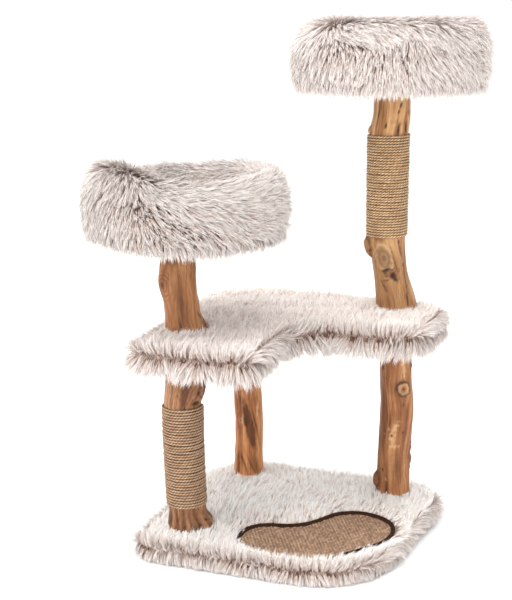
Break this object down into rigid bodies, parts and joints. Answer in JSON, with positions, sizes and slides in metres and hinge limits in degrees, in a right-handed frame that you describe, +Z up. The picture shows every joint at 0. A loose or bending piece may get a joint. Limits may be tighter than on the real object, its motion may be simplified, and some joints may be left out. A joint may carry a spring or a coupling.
{
  "type": "cat tree",
  "caption": "Furred cat tree: base with scratch mat, natural log posts with jute rope, boomerang platform and round beds with lift-out cushions.",
  "frame": {"origin": "centre of the base's underside, on the floor", "axes": "+Z up, +X to the right along the base's front edge, +Y to the back"},
  "size_m": [0.8619, 0.8695, 1.272],
  "materials": {
    "board": "bare particle board",
    "log_wood": "peeled natural log, satin",
    "fur": "long cream faux fur with darker roots",
    "jute_rope": "natural jute rope",
    "jute_mat": "woven jute",
    "dark_felt": "dark brown felt",
    "lining": "plain woven cloth",
    "foam": "upholstery foam",
    "cushion": "short plush",
    "steel": "zinc plated",
    "glide": "moulded plastic"
  },
  "bodies": {
    "stand": {"base_board": "board", "base_underside_felt": "dark_felt", "base_glides": "glide", "base_bolts": "steel", "base_washers": "steel", "base_fur_cover": "fur", "scratch_mat": "jute_mat", "scratch_mat_border": "dark_felt", "left_lower_log": "log_wood", "right_lower_log": "log_wood", "back_log": "log_wood", "left_upper_log": "log_wood", "right_upper_log": "log_wood", "log_inserts": "steel", "left_lower_rope": "jute_rope", "right_upper_rope": "jute_rope", "platform_board": "board", "platform_underside_cloth": "lining", "platform_studs": "steel", "back_post_washer": "steel", "back_post_bolt": "steel", "platform_fur_cover": "fur", "left_bed_board": "board", "left_bed_underside_cloth": "lining", "left_bed_foam_wall": "foam", "left_bed_fur_cover": "fur", "top_bed_board": "board", "top_bed_underside_cloth": "lining", "top_bed_foam_wall": "foam", "top_bed_fur_cover": "fur", "bed_bolts": "steel", "bed_washers": "steel"},
    "left_cushion": {"left_bed_cushion": "cushion"},
    "top_cushion": {"top_bed_cushion": "cushion"}
  },
  "joints": [
    {"name": "left_cushion_lift", "type": "slide", "parent": "stand", "child": "left_cushion", "axis": [0, 0, 1], "range_m": [0, 0.2]},
    {"name": "top_cushion_lift", "type": "slide", "parent": "stand", "child": "top_cushion", "axis": [0, 0, 1], "range_m": [0, 0.25]}
  ]
}
